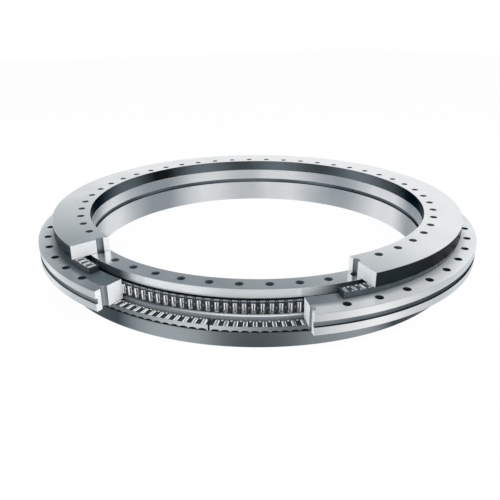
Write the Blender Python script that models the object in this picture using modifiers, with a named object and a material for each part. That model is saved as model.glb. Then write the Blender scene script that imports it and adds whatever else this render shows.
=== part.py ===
"""A turntable bearing: a three-row cylindrical roller bearing, cut open to show its rows.

Lengths are in metres and +Z is up. The bearing turns about Z, and the origin lies on that axis in
the plane of the bottom face. An L-shaped lower ring and a flat upper ring clamp together round the
outer ring. Two rows of rollers lie flat above and below the outer ring and carry the load along
the axis; a third row stands upright in its bore and carries the load across it. Each row runs in a
cage made of separate arcs. The upper ring, the upper cage and the outer ring each lack a sector,
all centred on one direction, so that the rows can be seen.

Every arc of a cage is one solid with its rollers, which is how a row is handled as one piece. The
arcs that the cutaway opens to view have their pockets and rollers cut out one by one. The arcs that
stay covered carry their rollers as one plain band of the same height.
"""

import math

import bmesh
import bpy
from mathutils import Matrix

# Rings, across the axis
BORE_RADIUS = 0.290
HUB_WALL = 0.031
FLANGE_REACH = 0.027
UPPER_RING_REACH = 0.029
OUTER_RING_WIDTH = 0.046

# Rings, along the axis
FLANGE_THICKNESS = 0.0207
OUTER_RING_HEIGHT = 0.030
UPPER_RING_THICKNESS = 0.0207

# Rollers
AXIAL_ROLLER_DIAMETER = 0.0087
AXIAL_ROLLER_LENGTH = 0.0134
RADIAL_ROLLER_DIAMETER = 0.0074
RADIAL_ROLLER_LENGTH = 0.0144
ROLLER_GAP = 0.0003
ROLLER_SIDES = 8

# Cages of the two flat rows
AXIAL_CAGE_HEIGHT = 0.0082
AXIAL_CAGE_RIM = 0.0013
AXIAL_CAGE_INSET = 0.0020
# The bar between two pockets, measured at its thin inner end
AXIAL_CAGE_BAR = 0.00342
AXIAL_ARCS_PER_TURN = 12
AXIAL_ARCS_TAKEN_OUT = 2
ARCH_CHORD = 0.0110
ARCH_HEIGHT = 0.0030
ARCH_DEPTH = 0.0010
ARCH_SIDES = 8
LOWER_ROW_TURN_DEG = 1.7

# Cage of the upright row
RADIAL_CAGE_WALL = 0.0040
RADIAL_CAGE_INSET = 0.0015
RADIAL_CAGE_TOP_RIM = 0.0030
RADIAL_CAGE_BOTTOM_RIM = 0.0013
RADIAL_CAGE_LEAST_POST = 0.0044
RADIAL_ARCS_PER_TURN = 4
RADIAL_ROW_TURN_DEG = 0.6

# What a pocket bites off its roller's two sides, so that roller and cage are one solid
POCKET_BITE = 0.0002
# The play of a roller between the ends of its pocket, at each end
POCKET_END_PLAY = 0.0003
# The space between the ends of two neighbouring arcs of a cage
ARC_END_SPACE = 0.0016

# The shoulder under the upright row
LEDGE_WIDTH = 0.0030
LEDGE_CHAMFER = 0.0030

# Bolt holes and the cutaway, which is measured in bolt pitches
BOLT_COUNT = 48
BOLT_HOLE_RADIUS = 0.0057
INNER_BOLT_INSET = 0.015
OUTER_BOLT_INSET = 0.015
HOLE_SIDES = 6
WINDOW_CENTRE_DEG = 225.0
UPPER_RING_PITCHES_CUT = 10
OUTER_RING_PITCHES_CUT = 6

# Lubrication grooves and the oil holes from the bore's groove to the upright row
GROOVE_WIDTH = 0.008
GROOVE_DEPTH = 0.0035
GROOVE_CORNER = 0.0015
OIL_HOLE_COUNT = 3
OIL_HOLE_RADIUS = 0.0018
OIL_HOLE_SIDES = 6
OIL_HOLE_FIRST_DEG = 11.25

EDGE_CHAMFER = 0.0006
# The gap between the faces of the two clamped rings
SEAT_GAP = 0.0003
# How far a cutter runs past what it cuts
CUT_MARGIN = 0.002
# The angle of one facet of every turned surface
FACET_DEG = 7.5
MERGE_DISTANCE = 0.00002
# Edges flatter than these are shaded smooth: a ring's facets, and the facets of a roller
RING_SMOOTH_DEG = 35.0
ROLLER_SMOOTH_DEG = 50.0

# Radii that follow
HUB_RADIUS = BORE_RADIUS + HUB_WALL
FLANGE_RADIUS = HUB_RADIUS + FLANGE_REACH
UPPER_RING_RADIUS = HUB_RADIUS + UPPER_RING_REACH
OUTER_BORE_RADIUS = HUB_RADIUS + RADIAL_ROLLER_DIAMETER + 2 * ROLLER_GAP
OUTER_RADIUS = OUTER_BORE_RADIUS + OUTER_RING_WIDTH
LEDGE_WALL_RADIUS = HUB_RADIUS + LEDGE_WIDTH + LEDGE_CHAMFER
RADIAL_ROW_RADIUS = HUB_RADIUS + ROLLER_GAP + RADIAL_ROLLER_DIAMETER / 2
AXIAL_CAGE_INNER_RADIUS = OUTER_BORE_RADIUS + AXIAL_CAGE_INSET
AXIAL_POCKET_INNER_RADIUS = AXIAL_CAGE_INNER_RADIUS + AXIAL_CAGE_RIM
AXIAL_POCKET_LENGTH = AXIAL_ROLLER_LENGTH + 2 * POCKET_END_PLAY
AXIAL_POCKET_OUTER_RADIUS = AXIAL_POCKET_INNER_RADIUS + AXIAL_POCKET_LENGTH
AXIAL_CAGE_OUTER_RADIUS = AXIAL_POCKET_OUTER_RADIUS + AXIAL_CAGE_RIM
INNER_BOLT_RADIUS = BORE_RADIUS + INNER_BOLT_INSET
OUTER_BOLT_RADIUS = OUTER_RADIUS - OUTER_BOLT_INSET

# Heights that follow
AXIAL_ROW_HEIGHT = AXIAL_ROLLER_DIAMETER + 2 * ROLLER_GAP
OUTER_RING_BOTTOM = FLANGE_THICKNESS + AXIAL_ROW_HEIGHT
OUTER_RING_TOP = OUTER_RING_BOTTOM + OUTER_RING_HEIGHT
OUTER_RING_MIDDLE = OUTER_RING_BOTTOM + OUTER_RING_HEIGHT / 2
UPPER_RING_BOTTOM = OUTER_RING_TOP + AXIAL_ROW_HEIGHT
UPPER_RING_TOP = UPPER_RING_BOTTOM + UPPER_RING_THICKNESS
HUB_TOP = UPPER_RING_BOTTOM - SEAT_GAP
RADIAL_ROLLER_BOTTOM = OUTER_RING_MIDDLE - RADIAL_ROLLER_LENGTH / 2
RADIAL_ROLLER_TOP = OUTER_RING_MIDDLE + RADIAL_ROLLER_LENGTH / 2
RADIAL_POCKET_BOTTOM = RADIAL_ROLLER_BOTTOM - POCKET_END_PLAY
RADIAL_POCKET_TOP = RADIAL_ROLLER_TOP + POCKET_END_PLAY
RADIAL_CAGE_BOTTOM = RADIAL_POCKET_BOTTOM - RADIAL_CAGE_BOTTOM_RIM
RADIAL_CAGE_TOP = RADIAL_POCKET_TOP + RADIAL_CAGE_TOP_RIM
LEDGE_HEIGHT = RADIAL_CAGE_BOTTOM - SEAT_GAP

# Angles that follow
BOLT_PITCH_DEG = 360.0 / BOLT_COUNT
UPPER_RING_CUT_DEG = UPPER_RING_PITCHES_CUT * BOLT_PITCH_DEG
OUTER_RING_CUT_DEG = OUTER_RING_PITCHES_CUT * BOLT_PITCH_DEG
AXIAL_ARC_DEG = 360.0 / AXIAL_ARCS_PER_TURN
RADIAL_ARC_DEG = 360.0 / RADIAL_ARCS_PER_TURN

# Rollers that fit: the flat rows keep their bars' width and leave what is over at an arc's ends,
# and the upright row shares out what is over among its posts
AXIAL_ROLLER_PITCH_DEG = math.degrees(
    (AXIAL_ROLLER_DIAMETER + AXIAL_CAGE_BAR) / AXIAL_POCKET_INNER_RADIUS
)
AXIAL_ROLLERS_PER_ARC = int(AXIAL_ARC_DEG / AXIAL_ROLLER_PITCH_DEG)
RADIAL_LEAST_PITCH_DEG = math.degrees(
    (RADIAL_ROLLER_DIAMETER + RADIAL_CAGE_LEAST_POST) / RADIAL_ROW_RADIUS
)
RADIAL_ROLLERS_PER_ARC = int(RADIAL_ARC_DEG / RADIAL_LEAST_PITCH_DEG)
RADIAL_ROLLER_PITCH_DEG = RADIAL_ARC_DEG / RADIAL_ROLLERS_PER_ARC

RING_STEEL = (0.66, 0.69, 0.71)
CAGE_STEEL = (0.16, 0.19, 0.21)


def make_collection(name):
    collection = bpy.data.collections.new(name)
    bpy.context.scene.collection.children.link(collection)
    return collection


def make_material(name, colour, roughness, metallic):
    material = bpy.data.materials.new(name)
    material.use_nodes = True
    shader = material.node_tree.nodes["Principled BSDF"]
    shader.inputs["Base Color"].default_value = (*colour, 1.0)
    shader.inputs["Roughness"].default_value = roughness
    shader.inputs["Metallic"].default_value = metallic
    return material


def make_object(name, mesh, collection):
    obj = bpy.data.objects.new(name, mesh)
    collection.objects.link(obj)
    return obj


def make_cutter(name, mesh):
    obj = make_object(name, mesh, cutters)
    obj.hide_render = True
    obj.display_type = "WIRE"
    return obj


def baked_mesh(obj):
    """The object's mesh with its modifiers applied; the object itself goes."""
    graph = bpy.context.evaluated_depsgraph_get()
    graph.update()
    mesh = bpy.data.meshes.new_from_object(obj.evaluated_get(graph), depsgraph=graph)
    mesh.name = obj.name
    bpy.data.objects.remove(obj)
    return mesh


def add_screw(obj, sweep_deg):
    screw = obj.modifiers.new("turn", "SCREW")
    screw.axis = "Z"
    screw.angle = math.radians(sweep_deg)
    screw.steps = max(1, round(sweep_deg / FACET_DEG))
    screw.render_steps = screw.steps
    screw.use_merge_vertices = True
    screw.merge_threshold = MERGE_DISTANCE
    return screw


def add_boolean(obj, other, operation):
    boolean = obj.modifiers.new(other.name, "BOOLEAN")
    boolean.operation = operation
    boolean.solver = "EXACT"
    boolean.object = other
    return boolean


def profile_mesh(name, points):
    """A closed loop of (radius, height) points, clockwise, in the XZ plane."""
    mesh = bpy.data.meshes.new(name)
    edges = [(i, (i + 1) % len(points)) for i in range(len(points))]
    mesh.from_pydata([(radius, 0.0, height) for radius, height in points], edges, [])
    return mesh


def turned_mesh(name, points, sweep_deg):
    """The profile turned from +X; after less than a whole turn its two ends are closed."""
    profile = make_object(name, profile_mesh(name, points), cutters)
    add_screw(profile, sweep_deg)
    mesh = baked_mesh(profile)
    shape = bmesh.new()
    shape.from_mesh(mesh)
    ends = [edge for edge in shape.edges if edge.is_boundary]
    bmesh.ops.holes_fill(shape, edges=ends, sides=0)
    bmesh.ops.recalc_face_normals(shape, faces=shape.faces)
    shape.to_mesh(mesh)
    shape.free()
    return mesh


def turned_to(angle_deg):
    return Matrix.Rotation(math.radians(angle_deg), 4, "Z")


def upright_rod(shape, angle_deg, radius_out, bottom, top, rod_radius, sides):
    """A closed prism parallel to the bearing's axis, at a radius and an angle."""
    middle = Matrix.Translation((radius_out, 0.0, (bottom + top) / 2))
    bmesh.ops.create_cone(
        shape,
        cap_ends=True,
        segments=sides,
        radius1=rod_radius,
        radius2=rod_radius,
        depth=top - bottom,
        matrix=turned_to(angle_deg) @ middle,
    )


def radial_rod(shape, angle_deg, inner, outer, height, rod_radius, sides):
    """A closed prism that points away from the bearing's axis, with flats above and below."""
    middle = Matrix.Translation(((inner + outer) / 2, 0.0, height))
    laid = Matrix.Rotation(math.pi / 2, 4, "Y") @ turned_to(180.0 / sides)
    corner_radius = rod_radius / math.cos(math.pi / sides)
    bmesh.ops.create_cone(
        shape,
        cap_ends=True,
        segments=sides,
        radius1=corner_radius,
        radius2=corner_radius,
        depth=outer - inner,
        matrix=turned_to(angle_deg) @ middle @ laid,
    )


def radial_box(shape, angle_deg, inner, outer, half_width, bottom, top):
    """A box across a ring, its long side pointing away from the bearing's axis."""
    size = Matrix.Diagonal((outer - inner, 2 * half_width, top - bottom, 1.0))
    middle = Matrix.Translation(((inner + outer) / 2, 0.0, (bottom + top) / 2))
    bmesh.ops.create_cube(shape, size=1.0, matrix=turned_to(angle_deg) @ middle @ size)


def mesh_from(name, shape):
    mesh = bpy.data.meshes.new(name)
    shape.to_mesh(mesh)
    shape.free()
    return mesh


def bolt_drill(name, circle_radius, bottom, top):
    """The drill for one whole bolt circle; a round bolt fits inside the flats of each hole."""
    corner_radius = BOLT_HOLE_RADIUS / math.cos(math.pi / HOLE_SIDES)
    shape = bmesh.new()
    for hole in range(BOLT_COUNT):
        upright_rod(
            shape,
            WINDOW_CENTRE_DEG + hole * BOLT_PITCH_DEG,
            circle_radius,
            bottom - CUT_MARGIN,
            top + CUT_MARGIN,
            corner_radius,
            HOLE_SIDES,
        )
    return make_cutter(name, mesh_from(name, shape))


def oil_drill():
    shape = bmesh.new()
    for hole in range(OIL_HOLE_COUNT):
        angle = OIL_HOLE_FIRST_DEG + hole * 360.0 / OIL_HOLE_COUNT
        inner = BORE_RADIUS - CUT_MARGIN
        outer = HUB_RADIUS + CUT_MARGIN
        radial_rod(shape, angle, inner, outer, OUTER_RING_MIDDLE, OIL_HOLE_RADIUS, OIL_HOLE_SIDES)
    return make_cutter("oil_drill", mesh_from("oil_drill", shape))


def groove_points(radius, depth):
    """A groove with rounded corners at mid-height, bottom to top; a negative depth cuts inwards."""
    half = GROOVE_WIDTH / 2
    floor = radius + depth
    corner = math.copysign(GROOVE_CORNER, depth)
    lower = OUTER_RING_MIDDLE - half
    upper = OUTER_RING_MIDDLE + half
    return [
        (radius, lower),
        (floor - corner, lower),
        (floor, lower + GROOVE_CORNER),
        (floor, upper - GROOVE_CORNER),
        (floor - corner, upper),
        (radius, upper),
    ]


def top_edge(inner, outer, height):
    """The chamfered top of a ring's section, from its inner to its outer side."""
    return [
        (inner, height - EDGE_CHAMFER),
        (inner + EDGE_CHAMFER, height),
        (outer - EDGE_CHAMFER, height),
        (outer, height - EDGE_CHAMFER),
    ]


def bottom_edge(inner, outer, height):
    """The chamfered bottom of a ring's section, from its outer to its inner side."""
    return [
        (outer, height + EDGE_CHAMFER),
        (outer - EDGE_CHAMFER, height),
        (inner + EDGE_CHAMFER, height),
        (inner, height + EDGE_CHAMFER),
    ]


def shade_round(mesh, smooth_deg):
    mesh.shade_smooth()
    mesh.set_sharp_from_angle(angle=math.radians(smooth_deg))


def make_lower_ring(drill):
    """The L-shaped ring: the hub that the upright row runs on, and the flange of the lower row."""
    flange_rim = [
        (HUB_RADIUS, LEDGE_HEIGHT),
        (HUB_RADIUS + LEDGE_WIDTH, LEDGE_HEIGHT),
        (LEDGE_WALL_RADIUS, LEDGE_HEIGHT - LEDGE_CHAMFER),
        (LEDGE_WALL_RADIUS, FLANGE_THICKNESS),
        (FLANGE_RADIUS - EDGE_CHAMFER, FLANGE_THICKNESS),
        (FLANGE_RADIUS, FLANGE_THICKNESS - EDGE_CHAMFER),
    ]
    profile = (
        [(BORE_RADIUS, HUB_TOP), (HUB_RADIUS, HUB_TOP)]
        + flange_rim
        + bottom_edge(BORE_RADIUS, FLANGE_RADIUS, 0.0)
        + groove_points(BORE_RADIUS, GROOVE_DEPTH)
    )
    ring = make_object("lower_ring", turned_mesh("lower_ring", profile, 360.0), parts)
    shade_round(ring.data, RING_SMOOTH_DEG)
    add_boolean(ring, drill, "DIFFERENCE")
    add_boolean(ring, oil_drill(), "DIFFERENCE")
    return ring


def make_cut_ring(name, profile, cut_deg, drill):
    """A ring that lacks a sector centred on the window; its ends pass through bolt holes."""
    ring = make_object(name, turned_mesh(name, profile, 360.0 - cut_deg), parts)
    ring.rotation_euler.z = math.radians(WINDOW_CENTRE_DEG + cut_deg / 2)
    shade_round(ring.data, RING_SMOOTH_DEG)
    add_boolean(ring, drill, "DIFFERENCE")
    return ring


def make_upper_ring(drill):
    """The flat ring that clamps on the hub and closes the bearing."""
    profile = top_edge(BORE_RADIUS, UPPER_RING_RADIUS, UPPER_RING_TOP) + [
        (UPPER_RING_RADIUS, UPPER_RING_BOTTOM),
        (BORE_RADIUS, UPPER_RING_BOTTOM),
    ]
    return make_cut_ring("upper_ring", profile, UPPER_RING_CUT_DEG, drill)


def make_outer_ring(drill):
    """The ring that turns between the two others, its bore set out to clear the upright row."""
    bore = OUTER_BORE_RADIUS / math.cos(math.radians(FACET_DEG / 2))
    groove = groove_points(OUTER_RADIUS, -GROOVE_DEPTH)
    profile = (
        top_edge(bore, OUTER_RADIUS, OUTER_RING_TOP)
        + groove[::-1]
        + bottom_edge(bore, OUTER_RADIUS, OUTER_RING_BOTTOM)
    )
    return make_cut_ring("outer_ring", profile, OUTER_RING_CUT_DEG, drill)


def arc_sweep(arc_deg, radius):
    return arc_deg - math.degrees(ARC_END_SPACE / radius)


def centred(mesh, sweep_deg):
    """The arc turned back so that its middle lies on +X."""
    mesh.transform(turned_to(-sweep_deg / 2))
    return mesh


def roller_angles(count, pitch_deg):
    return [(i - (count - 1) / 2) * pitch_deg for i in range(count)]


def axial_arc(name, profile):
    sweep = arc_sweep(AXIAL_ARC_DEG, (AXIAL_CAGE_INNER_RADIUS + AXIAL_CAGE_OUTER_RADIUS) / 2)
    return centred(turned_mesh(name, profile, sweep), sweep)


def covered_axial_arc():
    """A flat row's arc, from its raceway up: the cage's plate, and the rollers as one band."""
    plate_top = ROLLER_GAP + AXIAL_CAGE_HEIGHT
    band_top = ROLLER_GAP + AXIAL_ROLLER_DIAMETER
    profile = [
        (AXIAL_CAGE_INNER_RADIUS, plate_top),
        (AXIAL_POCKET_INNER_RADIUS, band_top),
        (AXIAL_POCKET_OUTER_RADIUS, band_top),
        (AXIAL_CAGE_OUTER_RADIUS, plate_top),
        (AXIAL_CAGE_OUTER_RADIUS, ROLLER_GAP),
        (AXIAL_CAGE_INNER_RADIUS, ROLLER_GAP),
    ]
    return axial_arc("covered_axial_arc", profile)


def axial_pockets(angles):
    shape = bmesh.new()
    for angle in angles:
        radial_box(
            shape,
            angle,
            AXIAL_POCKET_INNER_RADIUS,
            AXIAL_POCKET_OUTER_RADIUS,
            AXIAL_ROLLER_DIAMETER / 2 - POCKET_BITE,
            -CUT_MARGIN,
            AXIAL_ROW_HEIGHT + CUT_MARGIN,
        )
    return make_cutter("axial_pockets", mesh_from("axial_pockets", shape))


def axial_arches(angles):
    """The round notches in the outer rim's edge, one at the end of each roller."""
    arch_radius = (ARCH_CHORD**2 / 4 + ARCH_HEIGHT**2) / (2 * ARCH_HEIGHT)
    height = ROLLER_GAP + ARCH_HEIGHT - arch_radius
    inner = AXIAL_CAGE_OUTER_RADIUS - ARCH_DEPTH
    outer = AXIAL_CAGE_OUTER_RADIUS + CUT_MARGIN
    shape = bmesh.new()
    for angle in angles:
        radial_rod(shape, angle, inner, outer, height, arch_radius, ARCH_SIDES)
    return make_cutter("axial_arches", mesh_from("axial_arches", shape))


def axial_rollers(angles):
    height = ROLLER_GAP + AXIAL_ROLLER_DIAMETER / 2
    inner = AXIAL_POCKET_INNER_RADIUS + POCKET_END_PLAY
    outer = inner + AXIAL_ROLLER_LENGTH
    shape = bmesh.new()
    for angle in angles:
        radial_rod(shape, angle, inner, outer, height, AXIAL_ROLLER_DIAMETER / 2, ROLLER_SIDES)
    return make_cutter("axial_rollers", mesh_from("axial_rollers", shape))


def open_axial_arc():
    """A flat row's arc with its pockets, the arches of its outer rim, and its rollers."""
    profile = [
        (AXIAL_CAGE_INNER_RADIUS, ROLLER_GAP + AXIAL_CAGE_HEIGHT),
        (AXIAL_CAGE_OUTER_RADIUS, ROLLER_GAP + AXIAL_CAGE_HEIGHT),
        (AXIAL_CAGE_OUTER_RADIUS, ROLLER_GAP),
        (AXIAL_CAGE_INNER_RADIUS, ROLLER_GAP),
    ]
    angles = roller_angles(AXIAL_ROLLERS_PER_ARC, AXIAL_ROLLER_PITCH_DEG)
    arc = make_object("open_axial_arc", axial_arc("open_axial_arc", profile), cutters)
    add_boolean(arc, axial_pockets(angles), "DIFFERENCE")
    add_boolean(arc, axial_arches(angles), "DIFFERENCE")
    add_boolean(arc, axial_rollers(angles), "UNION")
    return baked_mesh(arc)


def radial_arc(name, profile):
    sweep = arc_sweep(RADIAL_ARC_DEG, RADIAL_ROW_RADIUS)
    return centred(turned_mesh(name, profile, sweep), sweep)


def radial_cage_section():
    inner = HUB_RADIUS + RADIAL_CAGE_INSET
    outer = inner + RADIAL_CAGE_WALL
    return inner, outer


def covered_radial_arc():
    """The upright row's arc, with its rollers as one band round the cage's wall."""
    inner, outer = radial_cage_section()
    band_inner = RADIAL_ROW_RADIUS - RADIAL_ROLLER_DIAMETER / 2
    band_outer = RADIAL_ROW_RADIUS + RADIAL_ROLLER_DIAMETER / 2
    # The chords of the band's inner side must stay clear of the hub between their ends
    band_inner = band_inner / math.cos(math.radians(FACET_DEG / 2))
    profile = [
        (inner, RADIAL_CAGE_TOP),
        (outer, RADIAL_CAGE_TOP),
        (band_outer, RADIAL_POCKET_TOP),
        (band_outer, RADIAL_POCKET_BOTTOM),
        (outer, RADIAL_CAGE_BOTTOM),
        (inner, RADIAL_CAGE_BOTTOM),
        (band_inner, RADIAL_POCKET_BOTTOM),
        (band_inner, RADIAL_POCKET_TOP),
    ]
    return radial_arc("covered_radial_arc", profile)


def open_radial_arc():
    """The upright row's arc with its pockets and rollers."""
    inner, outer = radial_cage_section()
    profile = [
        (inner, RADIAL_CAGE_TOP),
        (outer, RADIAL_CAGE_TOP),
        (outer, RADIAL_CAGE_BOTTOM),
        (inner, RADIAL_CAGE_BOTTOM),
    ]
    half_pocket = RADIAL_ROLLER_DIAMETER / 2 - POCKET_BITE
    windows = bmesh.new()
    rollers = bmesh.new()
    for angle in roller_angles(RADIAL_ROLLERS_PER_ARC, RADIAL_ROLLER_PITCH_DEG):
        radial_box(
            windows,
            angle,
            HUB_RADIUS,
            outer + CUT_MARGIN,
            half_pocket,
            RADIAL_POCKET_BOTTOM,
            RADIAL_POCKET_TOP,
        )
        upright_rod(
            rollers,
            angle,
            RADIAL_ROW_RADIUS,
            RADIAL_ROLLER_BOTTOM,
            RADIAL_ROLLER_TOP,
            RADIAL_ROLLER_DIAMETER / 2,
            ROLLER_SIDES,
        )
    arc = make_object("open_radial_arc", radial_arc("open_radial_arc", profile), cutters)
    window_cutter = make_cutter("radial_windows", mesh_from("radial_windows", windows))
    roller_group = make_cutter("radial_rollers", mesh_from("radial_rollers", rollers))
    add_boolean(arc, window_cutter, "DIFFERENCE")
    add_boolean(arc, roller_group, "UNION")
    return baked_mesh(arc)


def place_arc(name, mesh, middle_deg, height, flipped):
    """One arc of a cage; a flipped one lies under its raceway, not on it."""
    arc = make_object(name, mesh, parts)
    arc.location.z = height
    arc.rotation_euler = (math.pi if flipped else 0.0, 0.0, math.radians(middle_deg))
    return arc


def make_axial_row(name, arc_count, first_deg, raceway, flipped, meshes):
    """A flat row; its first and its last arc flank the window and are open to view."""
    open_mesh, covered_mesh = meshes
    for arc in range(arc_count):
        mesh = open_mesh if arc in (0, arc_count - 1) else covered_mesh
        middle = first_deg + (arc + 0.5) * AXIAL_ARC_DEG
        place_arc(f"{name}_{arc + 1:02d}", mesh, middle, raceway, flipped)


def make_radial_row(open_mesh, covered_mesh):
    """The upright row; its first arc stands behind the window."""
    for arc in range(RADIAL_ARCS_PER_TURN):
        mesh = open_mesh if arc == 0 else covered_mesh
        middle = WINDOW_CENTRE_DEG + RADIAL_ROW_TURN_DEG + arc * RADIAL_ARC_DEG
        place_arc(f"radial_cage_segment_{arc + 1}", mesh, middle, 0.0, False)


def with_material(mesh, material):
    mesh.materials.clear()
    mesh.materials.append(material)
    shade_round(mesh, ROLLER_SMOOTH_DEG)
    return mesh


for old in list(bpy.data.objects):
    bpy.data.objects.remove(old)

parts = make_collection("turntable_bearing")
cutters = make_collection("turntable_bearing_cutters")

inner_drill = bolt_drill("inner_bolt_drill", INNER_BOLT_RADIUS, 0.0, UPPER_RING_TOP)
outer_drill = bolt_drill("outer_bolt_drill", OUTER_BOLT_RADIUS, OUTER_RING_BOTTOM, OUTER_RING_TOP)
for ring in (make_lower_ring(inner_drill), make_upper_ring(inner_drill), make_outer_ring(outer_drill)):
    ring.data.materials.append(make_material(ring.name + "_steel", RING_STEEL, 0.28, 1.0))

flat_cage = make_material("flat_row_cage", CAGE_STEEL, 0.45, 0.6)
upright_cage = make_material("upright_row_cage", CAGE_STEEL, 0.45, 0.6)
flat_meshes = (with_material(open_axial_arc(), flat_cage), with_material(covered_axial_arc(), flat_cage))
upper_count = AXIAL_ARCS_PER_TURN - AXIAL_ARCS_TAKEN_OUT
upper_first = WINDOW_CENTRE_DEG + AXIAL_ARCS_TAKEN_OUT * AXIAL_ARC_DEG / 2
lower_first = WINDOW_CENTRE_DEG + LOWER_ROW_TURN_DEG
make_axial_row("upper_cage_segment", upper_count, upper_first, UPPER_RING_BOTTOM, True, flat_meshes)
make_axial_row(
    "lower_cage_segment", AXIAL_ARCS_PER_TURN, lower_first, FLANGE_THICKNESS, False, flat_meshes
)
make_radial_row(
    with_material(open_radial_arc(), upright_cage), with_material(covered_radial_arc(), upright_cage)
)
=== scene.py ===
# %% [markdown]
# # A turntable bearing, cut open
#
# This lesson dresses the solids of a large flat roller bearing. The solids fix every size and
# every place. What is made here is the fine surface that the eye sees: round walls instead of
# facets, drilled holes with chamfers, cages with a bar between every two rollers, and steel that
# has been turned, ground, polished or blackened.
#
# Everything is in metres and +Z is up. The bearing turns about Z, and its bottom face lies on
# the floor.

import math

import bmesh
import bpy
import numpy as np
from mathutils import Matrix


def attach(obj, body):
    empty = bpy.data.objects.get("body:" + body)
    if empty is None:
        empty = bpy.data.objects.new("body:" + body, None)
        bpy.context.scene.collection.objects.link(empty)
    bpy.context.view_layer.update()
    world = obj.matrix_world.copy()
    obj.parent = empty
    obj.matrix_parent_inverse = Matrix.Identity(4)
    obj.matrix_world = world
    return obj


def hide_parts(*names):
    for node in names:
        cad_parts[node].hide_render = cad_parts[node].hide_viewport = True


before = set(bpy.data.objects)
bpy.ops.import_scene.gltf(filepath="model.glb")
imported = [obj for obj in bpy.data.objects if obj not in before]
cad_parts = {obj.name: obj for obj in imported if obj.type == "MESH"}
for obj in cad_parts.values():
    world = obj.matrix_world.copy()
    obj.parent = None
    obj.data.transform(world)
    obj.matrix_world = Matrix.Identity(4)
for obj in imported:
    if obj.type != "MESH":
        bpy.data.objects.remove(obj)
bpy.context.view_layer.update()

# %% [markdown]
# ## Sizes
#
# A designer writes each size once. The rings are described by radii and heights, and the
# bolt circles by their pitch. Every ring is turned in steps that divide the bolt pitch by
# eight, so that a wall, a drilled face and a section meet point for point.

# %% Sizes of the rings
MM = 0.001
BORE = 290 * MM
HUB = 321 * MM
LEDGE = 324 * MM
LEDGE_WALL = 327 * MM
FLANGE = 348 * MM
UPPER_RIM = 350 * MM
OUTER_BORE = 329 * MM
OUTER_RIM = 375 * MM

FLANGE_TOP = 20.7 * MM
LEDGE_TOP = 35.9 * MM
HUB_TOP = 69.0 * MM
UPPER_BOTTOM = 69.3 * MM
UPPER_TOP = 90 * MM
OUTER_BOTTOM = 30 * MM
OUTER_TOP = 60 * MM

INNER_BOLTS = 305 * MM
OUTER_BOLTS = 360 * MM
BOLT_PITCH = 7.5
HOLE_RADIUS = 5.7 * MM
CHAMFER = 0.3 * MM
HOLE_EDGE = 0.25 * MM
WINDOW = 225.0
UPPER_CUT = 75.0
OUTER_CUT = 45.0

STEPS_PER_PITCH = 8
STEP = BOLT_PITCH / STEPS_PER_PITCH
HOLE_STEPS = 4 * STEPS_PER_PITCH
print("one step of a turned wall:", round(math.radians(STEP) * OUTER_RIM / MM, 2), "mm")

# %% [markdown]
# ## Small tools
#
# A surface here is a grid of points worked out by numpy in one go. `grid` turns an array of
# such grids into points and four-sided faces, `plate` makes one many-sided face, `capped` closes
# the first and the last row of a grid, and `make_piece` puts a list of them into one mesh. Points
# that two surfaces share are then merged, so that the piece is closed. A surface's finish is a
# number: its place in the piece's list of finishes.

# %% From arrays to meshes
MERGE_DISTANCE = 2e-6


def grid(points, finish=0):
    """Faces between neighbours of a grid: points has the shape (..., rows, columns, 3)."""
    points = np.asarray(points, float)
    rows, columns = points.shape[-3:-1]
    copies = points.size // (rows * columns * 3)
    corner = np.arange(rows * columns).reshape(rows, columns)
    quads = np.stack([corner[:-1, :-1], corner[1:, :-1], corner[1:, 1:], corner[:-1, 1:]], -1)
    first = np.arange(copies)[:, None, None] * rows * columns
    return points.reshape(-1, 3), (quads.reshape(1, -1, 4) + first).reshape(-1, 4), finish


def plate(points, finish=0):
    """One flat face round each loop: points has the shape (..., corners, 3)."""
    points = np.asarray(points, float)
    corners = points.shape[-2]
    copies = points.size // (corners * 3)
    return points.reshape(-1, 3), np.arange(copies * corners).reshape(copies, corners), finish


def capped(loops, finish, cap_finish=0):
    """Bodies between their first and last loop, both closed: loops is (..., rows, corners, 3)."""
    ends = [plate(loops[..., row, :-1, :], cap_finish) for row in (0, -1)]
    return [grid(loops, finish), *ends]


def make_mesh(name, patches, finishes, smooth_deg):
    """All patches in one mesh; doubles are merged and every shell's faces turned outwards."""
    offsets = np.cumsum([0] + [len(points) for points, _, _ in patches])
    points = np.concatenate([points for points, _, _ in patches])
    faces = [face for start, patch in zip(offsets, patches) for face in (patch[1] + start).tolist()]
    chosen = np.concatenate([np.broadcast_to(finish, len(found)) for _, found, finish in patches])
    mesh = bpy.data.meshes.new(name)
    mesh.from_pydata(points.tolist(), [], faces)
    for finish in finishes:
        mesh.materials.append(finish)
    mesh.polygons.foreach_set("material_index", chosen.astype(np.int32))
    shape = bmesh.new()
    shape.from_mesh(mesh)
    bmesh.ops.remove_doubles(shape, verts=shape.verts, dist=MERGE_DISTANCE)
    bmesh.ops.recalc_face_normals(shape, faces=shape.faces)
    shape.to_mesh(mesh)
    shape.free()
    mesh.shade_smooth()
    mesh.set_sharp_from_angle(angle=math.radians(smooth_deg))
    return mesh


def new_object(name, data):
    """An object in the scene that shows this mesh, lamp or camera."""
    thing = bpy.data.objects.new(name, data)
    bpy.context.scene.collection.objects.link(thing)
    return thing


def make_piece(name, patches, finishes, body, nodes=(), smooth_deg=30):
    """A finished piece: its mesh, the body that carries it, and the solids that it stands for."""
    piece = new_object(name, make_mesh(name, patches, finishes, smooth_deg))
    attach(piece, body)
    if nodes:
        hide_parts(*nodes)
    return piece


def report(piece):
    """Prints the size of a piece's mesh."""
    triangles = sum(len(face.vertices) - 2 for face in piece.data.polygons)
    print(f"{piece.name}: {triangles} triangles")


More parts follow.
